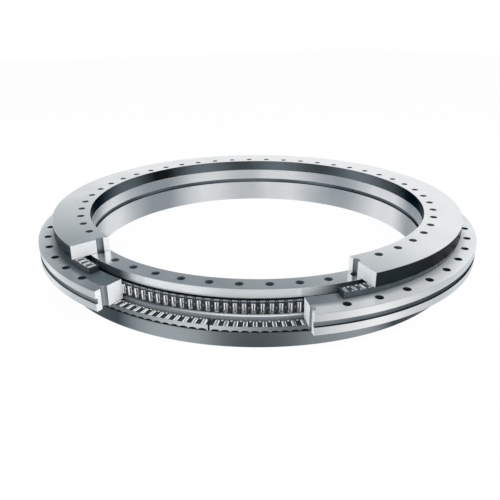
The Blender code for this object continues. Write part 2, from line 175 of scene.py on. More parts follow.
# %% [markdown]
# ## Finishes
#
# All of it is bearing steel, but no two surfaces were finished alike. The ground faces and the
# turned rims are bright, the grooves are left dark from heat treatment, the clamping ring's walls
# are blackened, and the rollers are polished until they mirror. A helper turns the hex values of
# a colour picker into linear light, and another adds one node with its settings and links.

# %% Colour and nodes
def linear(hex_colour):
    """sRGB to linear: v / 12.92 for v up to 0.04045, and ((v + 0.055) / 1.055) ^ 2.4 above it."""
    value = np.array([int(hex_colour[i : i + 2], 16) for i in (1, 3, 5)]) / 255
    curve = np.where(value <= 0.04045, value / 12.92, ((value + 0.055) / 1.055) ** 2.4)
    return (*curve.tolist(), 1.0)


def add_node(tree, kind, inputs=None, stops=None, **settings):
    """Adds one node and returns its outputs. Its type is "ShaderNode" and the kind.

    The inputs are values or other nodes' sockets, and the stops are a ramp's colours.
    """
    node = tree.nodes.new("ShaderNode" + kind)
    for name, value in settings.items():
        setattr(node, name, value)
    for name, value in (inputs or {}).items():
        if isinstance(value, bpy.types.NodeSocket):
            tree.links.new(value, node.inputs[name])
        else:
            node.inputs[name].default_value = value
    if stops:
        elements = node.color_ramp.elements
        while len(elements) < len(stops):
            elements.new(0.5)
        for element, (position, colour) in zip(elements, stops):
            element.position = position
            element.color = linear(colour)
    return node.outputs


def new_finish(name, colour, metallic, roughness):
    """A material with one Principled shader; returns it with its tree and shader."""
    material = bpy.data.materials.new(name)
    material.use_nodes = True
    tree = material.node_tree
    shader = tree.nodes["Principled BSDF"]
    shader.inputs["Base Color"].default_value = linear(colour)
    shader.inputs["Metallic"].default_value = metallic
    shader.inputs["Roughness"].default_value = roughness
    return material, tree, shader


def cycles(size_mm):
    """How often a pattern of this size repeats in one metre, which is a noise texture's scale."""
    return 1000.0 / size_mm


# %% [markdown]
# ### Turned and ground steel
#
# A lathe or a ring grinder leaves fine marks that run round the axis. They are noise read along
# one line only: along the radius on a flat face, along the height on a round wall. Real marks
# are some 0.05 mm apart, which no picture this size could show, so they are drawn 0.8 mm apart.
# A second, cloudy noise of about 60 mm makes the roughness and the tone a little uneven, as
# handling and washing leave it.
#
# A round wall also shows broad soft bands, bright and dull by turns, that stand upright on it.
# They are painted reflections and painted shade: tone in the steel's colour that stands in for
# the bright and dark things that the turned wall mirrors, and for the shade of the parts next to
# it. The bands are a sum of a few sine waves of the angle round the axis, so that they close
# without a seam. On the outer ring's top the face is painted darker next to the upper ring, as
# painted shade and a painted reflection of that ring's dark wall.

# %% Bands round the axis
def banded(tree, parts, middle, bands):
    """middle + sum of weight x sin(turns x angle + phase), where angle is atan2(y, x)."""
    angle = add_node(tree, "Math", {0: parts["Y"], 1: parts["X"]}, operation="ARCTAN2")["Value"]
    total = middle
    for turns, phase_deg, weight in bands:
        turned_on = add_node(
            tree, "Math", {0: angle, 1: turns, 2: math.radians(phase_deg)}, operation="MULTIPLY_ADD"
        )["Value"]
        wave = add_node(tree, "Math", {0: turned_on}, operation="SINE")["Value"]
        total = add_node(
            tree, "Math", {0: wave, 1: weight, 2: total}, operation="MULTIPLY_ADD"
        )["Value"]
    return total


# %% Steel with marks round the axis
MARKS_SHARE = 0.3
UNEVEN_MEAN = 0.65
UNEVEN_RANGE = {"From Min": 0.4, "From Max": 0.9}
ROUGHNESS_SPREAD = 0.15
MARK_HEIGHT = 0.4 * MM
GRAIN_HEIGHT = 0.3 * MM


def marked_steel(
    name, light, dark, roughness, along="height", middle=0.5, bands=(), metallic=1.0,
    glancing="#ffffff", marks_mm=0.8, cloud_mm=60.0, cloud_share=0.5, depth=0.03, shade_strip=None,
):
    """Metal between two tones; along is "radius" or "height", the line that its marks cross.

    A strip of painted shade is (start, end, weight): the tone falls by weight at start and
    by nothing at end.
    """
    material, tree, shader = new_finish(name, light, metallic, roughness)
    shader.inputs["Specular Tint"].default_value = linear(glancing)
    place = add_node(tree, "TexCoord")["Object"]
    parts = add_node(tree, "SeparateXYZ", {"Vector": place})
    if along == "radius":
        flat = add_node(tree, "CombineXYZ", {"X": parts["X"], "Y": parts["Y"]})
        line = add_node(tree, "VectorMath", {0: flat["Vector"]}, operation="LENGTH")["Value"]
    else:
        line = parts["Z"]
    marks = add_node(
        tree, "TexNoise",
        {"W": line, "Scale": cycles(marks_mm), "Detail": 3.0, "Roughness": 0.6},
        noise_dimensions="1D",
    )["Fac"]
    cloud = add_node(
        tree, "TexNoise",
        {"Vector": place, "Scale": cycles(cloud_mm), "Detail": 1.5, "Roughness": 0.5},
    )["Fac"]
    uneven = add_node(
        tree, "Math", {0: marks, 1: MARKS_SHARE, 2: cloud}, operation="MULTIPLY_ADD"
    )["Value"]
    centred = add_node(
        tree, "Math", {0: uneven, 1: cloud_share, 2: -UNEVEN_MEAN * cloud_share},
        operation="MULTIPLY_ADD",
    )["Value"]
    blend = add_node(
        tree, "Math", {0: centred, 1: banded(tree, parts, middle, bands)}, operation="ADD"
    )["Value"]
    # A strip of painted shade: the tone falls from its start to its end along the line.
    if shade_strip:
        shade_ramp = add_node(
            tree, "MapRange",
            {"Value": line, "From Min": shade_strip[0], "From Max": shade_strip[1], "To Min": -shade_strip[2],
             "To Max": 0.0},
        )["Result"]
        blend = add_node(tree, "Math", {0: blend, 1: shade_ramp}, operation="ADD")["Value"]
    tone = add_node(tree, "ValToRGB", {"Fac": blend}, stops=[(0.0, dark), (1.0, light)])["Color"]
    tree.links.new(tone, shader.inputs["Base Color"])
    rough = add_node(
        tree, "MapRange",
        {"Value": uneven, **UNEVEN_RANGE, "To Min": roughness * (1 + ROUGHNESS_SPREAD),
         "To Max": roughness * (1 - ROUGHNESS_SPREAD)},
    )["Result"]
    tree.links.new(rough, shader.inputs["Roughness"])
    bump = add_node(
        tree, "Bump", {"Height": marks, "Strength": depth, "Distance": MARK_HEIGHT}
    )["Normal"]
    tree.links.new(bump, shader.inputs["Normal"])
    return material


# %% Bright walls and faces
# The bands below are painted reflections and painted shade, and the strip is painted shade.
BORE_BANDS = ((8, 133, 0.33), (5, 139, 0.32), (2, -7, 0.23), (12, -129, 0.10))
RIM_BANDS = ((4, -132, 0.37), (9, -154, 0.23), (14, 48, 0.17))
FLANGE_BANDS = ((5, 2, 0.24), (16, -89, 0.40), (17, -140, 0.31), (13, 80, 0.14), (8, 174, 0.20))
OUTER_FACE_BANDS = ((1, 56, 0.30), (2, -155, 0.24), (3, -1, 0.16))
SHADE_STRIP = (350 * MM, 360 * MM, 0.5)
LEDGE_BANDS = ((4, -164, 0.9),)
HUB_BANDS = ((4, -104, 2.0),)
face_steel = marked_steel("ground_steel_face", "#fefefe", "#f6f8f9", 0.20, "radius", depth=0.015)
outer_face_steel = marked_steel(
    "ground_steel_outer_face", "#fefefe", "#667178", 0.42, "radius", middle=0.80,
    bands=OUTER_FACE_BANDS, metallic=0.5, cloud_share=0.2, depth=0.015, shade_strip=SHADE_STRIP,
)
rim_steel = marked_steel("turned_steel_rim", "#f9fafa", "#bcc2c6", 0.32, bands=RIM_BANDS)
bore_steel = marked_steel(
    "honed_steel_bore", "#dcdfe2", "#8d969c", 0.28, middle=0.56, bands=BORE_BANDS, cloud_share=0.2
)
flange_steel = marked_steel(
    "turned_steel_flange", "#bfc8cd", "#354047", 0.30, middle=0.34, bands=FLANGE_BANDS,
    cloud_share=0.2,
)
raceway_steel = marked_steel("ground_raceway", "#e6e9eb", "#d5d9dc", 0.13, marks_mm=1.6)
hub_steel = marked_steel(
    "ground_hub_raceway", "#dadddf", "#454f54", 0.16, middle=0.75, bands=HUB_BANDS,
    metallic=0.3, cloud_share=0.05, depth=0.008,
)
floor_raceway = marked_steel(
    "ground_flat_raceway", "#aab3b8", "#8e989e", 0.32, "radius", metallic=0.6
)
ledge_steel = marked_steel(
    "turned_steel_ledge", "#fefefe", "#59646a", 0.30, "radius", bands=LEDGE_BANDS, metallic=0.3,
    cloud_share=0.1,
)
ledge_wall_steel = marked_steel(
    "turned_steel_under_ledge", "#b4bcc1", "#9aa4a9", 0.40, metallic=0.3
)
print("turned and ground finishes:", 10)

# %% [markdown]
# ### Blackened and heat-darkened steel
#
# The walls of the clamping ring and the floors of the grooves are dark. Such walls are left as
# they come from hardening, or are blackened, which is a thin brown-black oxide with the sheen of
# oil. It is still metal, only much darker. The cut faces are the other way round: a saw and a
# surface grinder leave them matt and nearly white.

# %% Dark walls, holes and sections
# These bands and the band on the rim's groove below are painted reflections and painted shade.
WALL_BANDS = ((2, 84, 0.5),)
SLATE_BANDS = ((9, 56, 0.22), (1, 32, 0.63), (6, 52, 0.22), (11, -94, 0.11), (7, -158, 0.09),
               (2, 116, 0.15))
black_wall = marked_steel(
    "blackened_steel_wall", "#4f595e", "#22292d", 0.30, bands=WALL_BANDS, metallic=0.8,
    cloud_share=0.2, glancing="#7d868b",
)
slate_bore = marked_steel(
    "blackened_steel_bore", "#6b767c", "#161a1d", 0.28, middle=0.09, bands=SLATE_BANDS,
    cloud_share=0.2, glancing="#a4abaf",
)
groove_steel = marked_steel(
    "heat_darkened_groove", "#6a757b", "#475157", 0.32, bands=RIM_BANDS, glancing="#c0c6ca"
)
outer_groove_steel = marked_steel(
    "heat_darkened_rim_groove", "#b9c1c6", "#566167", 0.34, middle=0.04,
    bands=((1, -90, 0.6),), glancing="#c0c6ca",
)
# The hole walls are one drilled steel in three tones, set by how much light reaches them: the open
# half holes of the cuts lightest, the outer ring's holes darkest. This is painted light and painted
# shade.
drilled_steel = marked_steel(
    "drilled_hole_wall_painted_shade", "#7c868c", "#656f75", 0.45, metallic=0.6, depth=0.05
)
outer_hole_shade_steel = marked_steel(
    "deep_drilled_wall_painted_shade", "#4a5257", "#3a4247", 0.45, metallic=0.6, depth=0.05
)
cut_channel_lit_steel = marked_steel(
    "drilled_channel_painted_light", "#a3abb0", "#8a949a", 0.40, metallic=0.6, depth=0.05
)
# The hub's raceway below its bright band is painted near black: painted shade behind the upright
# row.
shaded_raceway = marked_steel(
    "painted_shade_raceway", "#1d2326", "#0d1012", 0.35, metallic=0.5, glancing="#40494e"
)
cut_steel = marked_steel(
    "sawn_and_ground_section", "#fefefe", "#f4f5f7", 0.45, metallic=0.25, cloud_mm=25
)
print("dark walls: 5, holes: 3, sections: 1")

# %% [markdown]
# ### Rollers and cages
#
# The rollers are through-hardened and superfinished: nearly a mirror, with only a trace of marks.
# A roller that lies in the lower row mirrors the dark cage beside it as one fine line along its
# top, with a flank next to it that is bright at some places round the bearing and dull at others.
# So fine a mirror image only flickers in a picture of this size, and it is drawn as the tone of
# two of the roller's sides.
#
# The cages are pressed and milled steel, blued to a dark slate with a satin sheen. Their rims
# rub on nothing and keep a soft grain of about 2 mm.

# %% Roller and cage steel
def grained_steel(name, light, dark, roughness, grain_mm, metallic=1.0, depth=0.06):
    """Metal with an even, directionless grain between two tones."""
    material, tree, shader = new_finish(name, light, metallic, roughness)
    place = add_node(tree, "TexCoord")["Object"]
    grain = add_node(
        tree, "TexNoise",
        {"Vector": place, "Scale": cycles(grain_mm), "Detail": 3.0, "Roughness": 0.5},
    )["Fac"]
    tone = add_node(tree, "ValToRGB", {"Fac": grain}, stops=[(0.35, dark), (0.7, light)])["Color"]
    tree.links.new(tone, shader.inputs["Base Color"])
    bump = add_node(
        tree, "Bump", {"Height": grain, "Strength": depth, "Distance": GRAIN_HEIGHT}
    )["Normal"]
    tree.links.new(bump, shader.inputs["Normal"])
    return material


roller_steel = grained_steel("superfinished_roller", "#fdfdfd", "#f4f6f7", 0.03, 6.0, depth=0.0)
flat_roller_steel = grained_steel(
    "lapped_flat_roller", "#fefefe", "#fafbfb", 0.07, 6.0, metallic=0.15, depth=0.0
)
line_steel = marked_steel(
    "lapped_roller_dark_line", "#c4cacd", "#2f373b", 0.10, bands=((4, -30, 0.45),),
    metallic=0.5, cloud_share=0.05, depth=0.0,
)
flank_steel = marked_steel(
    "lapped_roller_flank", "#fdfdfd", "#59646a", 0.10, middle=0.65,
    bands=((8, -178, 0.7),), metallic=0.2, cloud_share=0.05, depth=0.0,
)
cage_steel = grained_steel("blued_steel_cage", "#454e54", "#2d353a", 0.36, 2.0, metallic=0.6)
cage_rim_steel = grained_steel("satin_cage_rim", "#98a1a6", "#858f95", 0.42, 2.0, metallic=0.5)
# Near white, for the tabs at the bars' ends: a painted highlight.
cage_tab_highlight_steel = grained_steel("painted_highlight_cage_tab", "#e4e7e9", "#d0d5d8", 0.36, 1.5, metallic=0.25)
# Near black: painted shade on the upright cage's upper rim, the flat cages' webs and their rims'
# ends.
cage_shadow_steel = grained_steel("painted_shade_cage_black", "#14181a", "#0a0c0d", 0.5, 2.0)
plain_rim_steel = grained_steel(
    "satin_plain_cage_rim", "#5c676c", "#4d575c", 0.42, 2.0, metallic=0.6
)
# The lower row's outer rim is painted brighter and darker by turns round the axis: a painted
# highlight.
RIM_HIGHLIGHT_BANDS = ((9, -135, 0.45),)
banded_cage_rim = marked_steel(
    "satin_cage_rim_lower", "#c9cfd2", "#5c676d", 0.40, bands=RIM_HIGHLIGHT_BANDS, metallic=0.5,
    cloud_share=0.2,
)
print("roller and cage finishes: 10")

# %% [markdown]
# ## Turned surfaces
#
# A wall is a short profile of (radius, height) points carried round the axis. With angle a, the
# point (r, z) goes to (r cos a, r sin a, z). The arrays hold all profile points times all angles
# at once. A full turn ends where it starts, and merging the doubles closes its seam.

# %% Walls
def around(radius, height, angles_deg):
    """(r cos a, r sin a, z) for arrays of radius, height and angle that fit each other."""
    angle = np.radians(angles_deg)
    return np.stack(np.broadcast_arrays(radius * np.cos(angle), radius * np.sin(angle), height), -1)


def turned(profile, angles_deg, finish):
    """A profile of two or more (radius, height) points carried round the axis."""
    radius, height = np.array(profile, float).T[:, :, None]
    return grid(around(radius, height, np.asarray(angles_deg)[None, :]), finish)


def sweep_angles(start_deg, sweep_deg):
    """Angles from start through the sweep, one every step."""
    return start_deg + np.arange(round(sweep_deg / STEP) + 1) * STEP


# %% [markdown]
# ## Drilled faces
#
# The flat faces carry 48 holes on a circle. One bolt pitch of the face is a cell: its outline is
# the outer arc, one straight side, the inner arc and the other side, and each point of it is
# joined to the point of the hole's circle that lies in the same direction. The cells share their
# sides, so 48 of them close into a ring. Both cuts of the cutaway pass through the middle of a
# hole, so a cut ring starts and ends with half a cell.

# %% Cells with a hole
def hole_circle(radius, height, bolt_radius, first, last):
    """(R + r cos u, r sin u, z) round a hole on +X, for the steps from first to last."""
    turn = np.radians(-45 + np.arange(first, last + 1) * 360 / HOLE_STEPS)
    x = bolt_radius + radius * np.cos(turn)
    y = radius * np.sin(turn)
    return np.stack(np.broadcast_arrays(x, y, height), -1)


def cell_outline(inner, outer, height, first, last):
    """The border of one pitch in the same order: outer arc, far side, inner arc, near side."""
    side, along = np.divmod(np.arange(first, last + 1), STEPS_PER_PITCH)
    share = along / STEPS_PER_PITCH
    half = BOLT_PITCH / 2
    radius = np.choose(side % 4, [outer, outer + (inner - outer) * share, inner,
                                  inner + (outer - inner) * share])
    angle = np.choose(side % 4, [2 * half * share - half, half, half - 2 * half * share, -half])
    return around(radius, height, angle)


def turn_to(points, angles_deg):
    """Copies of the points, one turned about Z to each angle."""
    angle = np.radians(np.atleast_1d(angles_deg))
    cos, sin, zero, one = np.cos(angle), np.sin(angle), 0 * angle, 0 * angle + 1
    turn = np.stack([cos, -sin, zero, sin, cos, zero, zero, zero, one], -1).reshape(-1, 3, 3)
    flat = np.asarray(points, float).reshape(-1, 3)
    return np.einsum("aij,pj->api", turn, flat).reshape(len(angle), *np.shape(points))


def cells_of(start_deg, sweep_deg):
    """(angles, first step, last step) of the cells of a ring that starts and ends in a hole."""
    pitches = round(sweep_deg / BOLT_PITCH)
    if pitches * BOLT_PITCH >= 360:
        return [(start_deg + np.arange(pitches) * BOLT_PITCH, 0, HOLE_STEPS)]
    half = STEPS_PER_PITCH // 2
    whole = start_deg + np.arange(1, pitches) * BOLT_PITCH
    return [
        (whole, 0, HOLE_STEPS),
        (start_deg, half, half + HOLE_STEPS // 2),
        (start_deg + sweep_deg, half + HOLE_STEPS // 2, half + HOLE_STEPS),
    ]


def hole_wall(bottom, top):
    """A bolt hole's wall with its two chamfers, from the top down, as (radius, height) points."""
    wide = HOLE_RADIUS + HOLE_EDGE
    low, high = bottom + HOLE_EDGE, top - HOLE_EDGE
    return [(wide, top), (HOLE_RADIUS, high), (HOLE_RADIUS, low), (wide, bottom)]


def drilled(
    inner_wall, outer_wall, bolt_radius, start_deg, sweep_deg, face_finishes, hole_finishes
):
    """The two drilled faces between the ends of a ring's walls, and the holes between the faces.

    The walls run from the top down, and so do the face finishes. The first hole finish is for
    whole holes, the second for the half holes in a cut.
    """
    hole = hole_wall(outer_wall[-1][1], outer_wall[0][1])
    patches = []
    for angles, first, last in cells_of(start_deg, sweep_deg):
        for end, finish in zip((0, -1), face_finishes):
            radius, height = hole[end]
            circle = hole_circle(radius, height, bolt_radius, first, last)
            border = cell_outline(inner_wall[end][0], outer_wall[end][0], height, first, last)
            patches.append(grid(turn_to(np.stack([circle, border]), angles), finish))
        levels = [hole_circle(radius, height, bolt_radius, first, last) for radius, height in hole]
        hole_finish = hole_finishes[last - first < HOLE_STEPS]
        patches.append(grid(turn_to(np.stack(levels), angles), hole_finish))
    return patches


def sections(outer_wall, inner_wall, bolt_radius, angles_deg, finish):
    """The cut faces. A hole's axis lies in each cut, so a cut has an outer and an inner half."""
    patches = []
    for wall, side in ((outer_wall, 1), (inner_wall, -1)):
        hole = hole_wall(wall[-1][1], wall[0][1])
        loop = wall + [(bolt_radius + side * radius, height) for radius, height in hole[::-1]]
        radius, height = np.array(loop).T
        patches += [plate(around(radius, height, angle), finish) for angle in angles_deg]
    return patches


# %% [markdown]
# ## Upper ring
#
# The clamping ring is flat, with a bright ground top and dark walls. Seventy-five degrees of it
# are cut away, and the two cuts pass through bolt holes. It is made from its two walls: each step
# of a wall's profile is one turned strip with its own finish, and the drilled faces and the cut
# faces close what lies between the walls.

# %% Upper ring
def chamfered(radius, low, high, inwards):
    """A wall with two chamfers, from the top down; inwards is -1 on a wall that faces outwards."""
    edge = radius + inwards * CHAMFER
    return [(edge, high), (radius, high - CHAMFER), (radius, low + CHAMFER), (edge, low)]


def strips(wall, angles_deg, finishes):
    """One turned surface for each step of the wall, with the finish of that step."""
    return [turned(wall[i : i + 2], angles_deg, finish) for i, finish in enumerate(finishes)]


def cut_ring(
    outer, inner, bolt_radius, cut_deg, outer_finishes, inner_finishes, hole_finishes, cut_finish
):
    """A drilled ring between two walls, with a window of this many degrees cut out of it."""
    start, sweep = WINDOW + cut_deg / 2, 360 - cut_deg
    angles = sweep_angles(start, sweep)
    return (
        strips(outer, angles, outer_finishes)
        + strips(inner, angles, inner_finishes)
        + drilled(inner, outer, bolt_radius, start, sweep, (0, 0), hole_finishes)
        + sections(outer, inner, bolt_radius, (start, start + sweep), cut_finish)
    )


upper_outer = chamfered(UPPER_RIM, UPPER_BOTTOM, UPPER_TOP, -1)
upper_inner = chamfered(BORE, UPPER_BOTTOM, UPPER_TOP, 1)
upper_ring = make_piece(
    "upper_ring_turned",
    cut_ring(upper_outer, upper_inner, INNER_BOLTS, UPPER_CUT, (0, 1, 0), (0, 4, 0), (2, 5), 3),
    [face_steel, black_wall, drilled_steel, cut_steel, slate_bore, cut_channel_lit_steel],
    "inner_ring", ["upper_ring"],
)
report(upper_ring)

# %% [markdown]
# ## Outer ring
#
# The ring that turns is 30 mm high and stands furthest out. A groove with rounded corners runs
# round its rim. Its corners are quarter circles: for angle a from 0 to 90 degrees the point is
# the corner's centre plus 1.5 mm times (sin a, cos a), so it lies (1 - sin a) short of the floor
# and (1 - cos a) below the edge, each times 1.5 mm.

# %% Groove profile
GROOVE_LOW = 41 * MM
GROOVE_HIGH = 49 * MM
GROOVE_DEPTH = 3.5 * MM
GROOVE_CORNER = 1.5 * MM
CORNER_STEPS = 5
# A groove has two sides, two corners and a floor.
GROOVE_FINISHES = (2,) * (2 * CORNER_STEPS + 3)


def with_groove(wall, inwards):
    """A wall with a groove in its middle; inwards is -1 where it is cut towards the axis."""
    radius = wall[1][0]
    turn = np.linspace(0, math.pi / 2, CORNER_STEPS + 1)
    out = radius + inwards * (GROOVE_DEPTH - GROOVE_CORNER * (1 - np.sin(turn)))
    drop = GROOVE_CORNER * (1 - np.cos(turn))
    upper = zip(out.tolist(), (GROOVE_HIGH - drop).tolist())
    lower = zip(out[::-1].tolist(), (GROOVE_LOW + drop[::-1]).tolist())
    return [*wall[:2], (radius, GROOVE_HIGH), *upper, *lower, (radius, GROOVE_LOW), *wall[2:]]


# %% Outer ring
outer_rim = with_groove(chamfered(OUTER_RIM, OUTER_BOTTOM, OUTER_TOP, -1), -1)
outer_bore = chamfered(OUTER_BORE, OUTER_BOTTOM, OUTER_TOP, 1)
RIM_FINISHES = (1, 1, *GROOVE_FINISHES, 1, 1)
outer_ring = make_piece(
    "outer_ring_turned",
    cut_ring(outer_rim, outer_bore, OUTER_BOLTS, OUTER_CUT, RIM_FINISHES, (0, 5, 0), (3, 6), 4),
    [outer_face_steel, rim_steel, outer_groove_steel, outer_hole_shade_steel, cut_steel, raceway_steel,
     cut_channel_lit_steel],
    "outer_ring", ["outer_ring"],
)
report(outer_ring)

# %% [markdown]
# ## Lower ring
#
# The L-shaped ring is whole. Its hub is the raceway of the upright row, its flange carries the
# lower flat row, and a narrow ledge holds up the upright row's cage. Three oil holes lead from
# the groove in its bore through the hub. Each is a small cell on a round wall, two steps wide:
# the hole's points and the cell's border are laid out flat and then rolled on to the wall, which
# sends a sideways distance s to the angle s / R.

# %% Oil holes
OIL_HOLE = 1.8 * MM
OIL_ANGLES = (11.25, 131.25, 251.25)
OIL_LOW = GROOVE_LOW + GROOVE_CORNER
OIL_HIGH = GROOVE_HIGH - GROOVE_CORNER
OIL_STEPS = 24


def oil_border(radius):
    """The border of an oil hole's cell on a wall of this radius, anticlockwise from a corner."""
    half_width = math.radians(STEP) * radius
    share = np.arange(OIL_STEPS // 4) / (OIL_STEPS // 4)
    middle = (OIL_LOW + OIL_HIGH) / 2
    half_height = (OIL_HIGH - OIL_LOW) / 2
    ones = np.ones_like(share)
    across = np.concatenate([ones, 1 - 2 * share, -ones, 2 * share - 1, [1]]) * half_width
    up = np.concatenate([2 * share - 1, ones, 1 - 2 * share, -ones, [-1]]) * half_height
    return across, middle + up


def oil_cell(radius):
    """An oil hole's edge and the border of its cell, both rolled on to a wall of this radius."""
    across, height = oil_border(radius)
    turn = np.radians(-45 + np.arange(OIL_STEPS + 1) * 360 / OIL_STEPS)
    edge = around(
        radius, (OIL_LOW + OIL_HIGH) / 2 + OIL_HOLE * np.sin(turn),
        np.degrees(OIL_HOLE * np.cos(turn) / radius),
    )
    return edge, around(radius, height, np.degrees(across / radius))


def without_cells(profile, angles, finish):
    """A turned profile that leaves out the cells of the oil holes."""
    radius, height = np.array(profile, float).T[:, :, None]
    points, quads, _ = grid(around(radius, height, angles[None, :]), finish)
    middles = (angles[:-1] + angles[1:]) / 2
    near = [np.abs((middles - oil + 180) % 360 - 180) < STEP for oil in OIL_ANGLES]
    return points, quads[~np.any(near, 0)], finish


# %% Lower ring
HUB_EDGE = 0.2 * MM
# Below this height the hub, and the oil holes' ends on it, are painted near black as shade behind
# the upright cage.
HUB_BRIGHT = 56.3 * MM
UNDER_LEDGE = LEDGE_TOP - (LEDGE_WALL - LEDGE)
lower_angles = sweep_angles(0, 360)
bore_wall = with_groove(chamfered(BORE, 0.0, HUB_TOP, 1), 1)
hub_wall = [
    (HUB - HUB_EDGE, HUB_TOP), (HUB, HUB_TOP - HUB_EDGE), (HUB, HUB_BRIGHT), (HUB, OIL_HIGH),
    (HUB, OIL_LOW), (HUB, LEDGE_TOP), (LEDGE, LEDGE_TOP), (LEDGE_WALL, UNDER_LEDGE),
    (LEDGE_WALL, FLANGE_TOP), (FLANGE - CHAMFER, FLANGE_TOP), (FLANGE, FLANGE_TOP - CHAMFER),
    (FLANGE, CHAMFER), (FLANGE - CHAMFER, 0.0),
]
BORE_FINISHES = (0, 1, *GROOVE_FINISHES, 1, 0)
HUB_FINISHES = (0, 4, 9, 9, 9, 7, 7, 8, 6, 5, 5, 5)
BORE_OIL_STEP = CORNER_STEPS + 3
HUB_OIL_STEP = 3
wall_patches = []
for wall, finishes, oil_step in (
    (bore_wall, BORE_FINISHES, BORE_OIL_STEP), (hub_wall, HUB_FINISHES, HUB_OIL_STEP)
):
    patches = strips(wall, lower_angles, finishes)
    patches[oil_step] = without_cells(
        wall[oil_step : oil_step + 2], lower_angles, finishes[oil_step]
    )
    wall_patches += patches
floor_edge, floor_border = oil_cell(BORE + GROOVE_DEPTH)
hub_edge, hub_border = oil_cell(HUB)
oil_patches = [
    grid(turn_to(np.stack([floor_edge, floor_border]), OIL_ANGLES), 2),
    grid(turn_to(np.stack([floor_edge, hub_edge]), OIL_ANGLES), 3),
    grid(turn_to(np.stack([hub_edge, hub_border]), OIL_ANGLES), 9),
]
bolt_patches = drilled(bore_wall, hub_wall, INNER_BOLTS, 0.0, 360.0, (0, 5), (3, 3))
lower_ring = make_piece(
    "lower_ring_turned", wall_patches + oil_patches + bolt_patches,
    [face_steel, bore_steel, groove_steel, drilled_steel, hub_steel, flange_steel,
     floor_raceway, ledge_steel, ledge_wall_steel, shaded_raceway],
    "inner_ring", ["lower_ring"],
)
report(lower_ring)

# %% [markdown]
# ## Rollers
#
# There are 480 rollers, so one has only sixteen sides and a chamfer at each end. Its profile is
# carried round its own axis, and copies are laid along the radius for the flat rows or stood
# upright for the third row.

# %% One roller, many copies
ROLLER_SIDES = 16
ROLLER_CHAMFER = 0.5 * MM
FLAT_DIAMETER = 8.7 * MM
FLAT_LENGTH = 13.4 * MM
UPRIGHT_DIAMETER = 7.4 * MM
UPRIGHT_LENGTH = 14.4 * MM
ROLLER_SMOOTH = 40


def roller(diameter, length):
    """A roller on its own axis Z, its foot at 0, as rows of points (r cos a, r sin a, z)."""
    radius = diameter / 2
    small = radius - ROLLER_CHAMFER
    profile = np.array([(small, length), (radius, length - ROLLER_CHAMFER),
                        (radius, ROLLER_CHAMFER), (small, 0.0)])
    angles = np.arange(ROLLER_SIDES + 1) * 360 / ROLLER_SIDES
    return around(profile[:, :1], profile[:, 1:], angles[None, :])


def laid(points, inner_radius, height):
    """The roller laid along +X: its own Z becomes the radius, and its X points up."""
    x, y, z = np.moveaxis(points, -1, 0)
    return np.stack([inner_radius + z, y, height + x], -1)


def stood(points, centre_radius, bottom):
    """The roller upright on +X."""
    return points + np.array([centre_radius, 0.0, bottom])


def roller_patches(points, angles_deg, side_finish=0):
    """The rollers' walls and their two ends; side_finish is one finish or one for each side."""
    sides = np.broadcast_to(side_finish, (len(points) - 1, ROLLER_SIDES))
    return capped(turn_to(points, angles_deg), np.tile(sides.ravel(), len(angles_deg)))


# %% [markdown]
# ## Flat cages
#
# A flat row's cage is a chain of arcs, each a ladder bent round the axis: an inner and an outer
# rim, and a bar between every two rollers. The lower row's outer rim is scalloped on the side of
# its raceway, one arch to a roller. An arch is half an ellipse, 12.5 mm wide and 3.1 mm high, so
# that only a narrow foot is left between two of them. Behind the arches a thin web, painted near
# black as shade, closes the pockets. The rims' ends, but for those of the upper row's plain outer
# rim, are painted near black as shade too. The upper row's outer rim is plain.

# %% Sizes of the flat rows
ARC = 30.0
FLAT_PER_ARC = 14
POCKET_INNER = 332.3 * MM
POCKET_OUTER = 346.3 * MM
CAGE_INNER = 331 * MM
CAGE_OUTER = 347.6 * MM
BAR_AT_INNER_END = 3.42 * MM
ROLLER_GAP = 0.3 * MM
CAGE_HEIGHT = 8.2 * MM
TOP = ROLLER_GAP + CAGE_HEIGHT
ARCH_CHORD = 12.5 * MM
ARCH_HEIGHT = 3.1 * MM
FLAT_PITCH = math.degrees((FLAT_DIAMETER + BAR_AT_INNER_END) / POCKET_INNER)
SLIT = 2.4 * MM
FLAT_SWEEP = ARC - math.degrees(SLIT / ((CAGE_INNER + CAGE_OUTER) / 2))
FLAT_OFFSETS = (np.arange(FLAT_PER_ARC) - (FLAT_PER_ARC - 1) / 2) * FLAT_PITCH
LOWER_TURN = 1.7
RIM_WALL = 1.0 * MM
RIM_EDGE = 0.25 * MM
WEB_STEP = 0.1 * MM
BAR_ANGLES = (FLAT_OFFSETS[:-1] + FLAT_OFFSETS[1:]) / 2
BAR_CLEARANCE = 0.2 * MM
BAR_OVERLAP = 0.2 * MM
BAR_HEIGHTS = ROLLER_GAP + np.array([0.7, 2.4, 4.35, 6.3, 8.0]) * MM
POCKET_MOUTH = 3.1 * MM
POCKET_HALF = 4.5 * MM
END_PLAY = 0.3 * MM
TAB = 2.2 * MM
TAB_THICKNESS = 0.4 * MM
TAB_WIDE = 1.7 * MM
TAB_NARROW = 1.0 * MM
print("flat rollers are", round(FLAT_PITCH, 3), "degrees apart")


# %% Rims and bars of a flat cage
def swept_ring(section, angles_deg, finish, end_finish):
    """A closed section, one loop of (radius, height) per angle, carried round; ends are closed.

    The finish is one number, or a table with a row per edge of the section and a column per step.
    """
    loop = np.concatenate([section, section[:1]])
    radius, height = np.moveaxis(loop, -1, 0)
    points = around(radius, height, np.asarray(angles_deg)[None, :])
    table = np.broadcast_to(finish, (len(section), len(angles_deg) - 1))
    ends = [plate(points[:-1, column], end_finish) for column in (0, -1)]
    return [grid(points, table.ravel()), *ends]


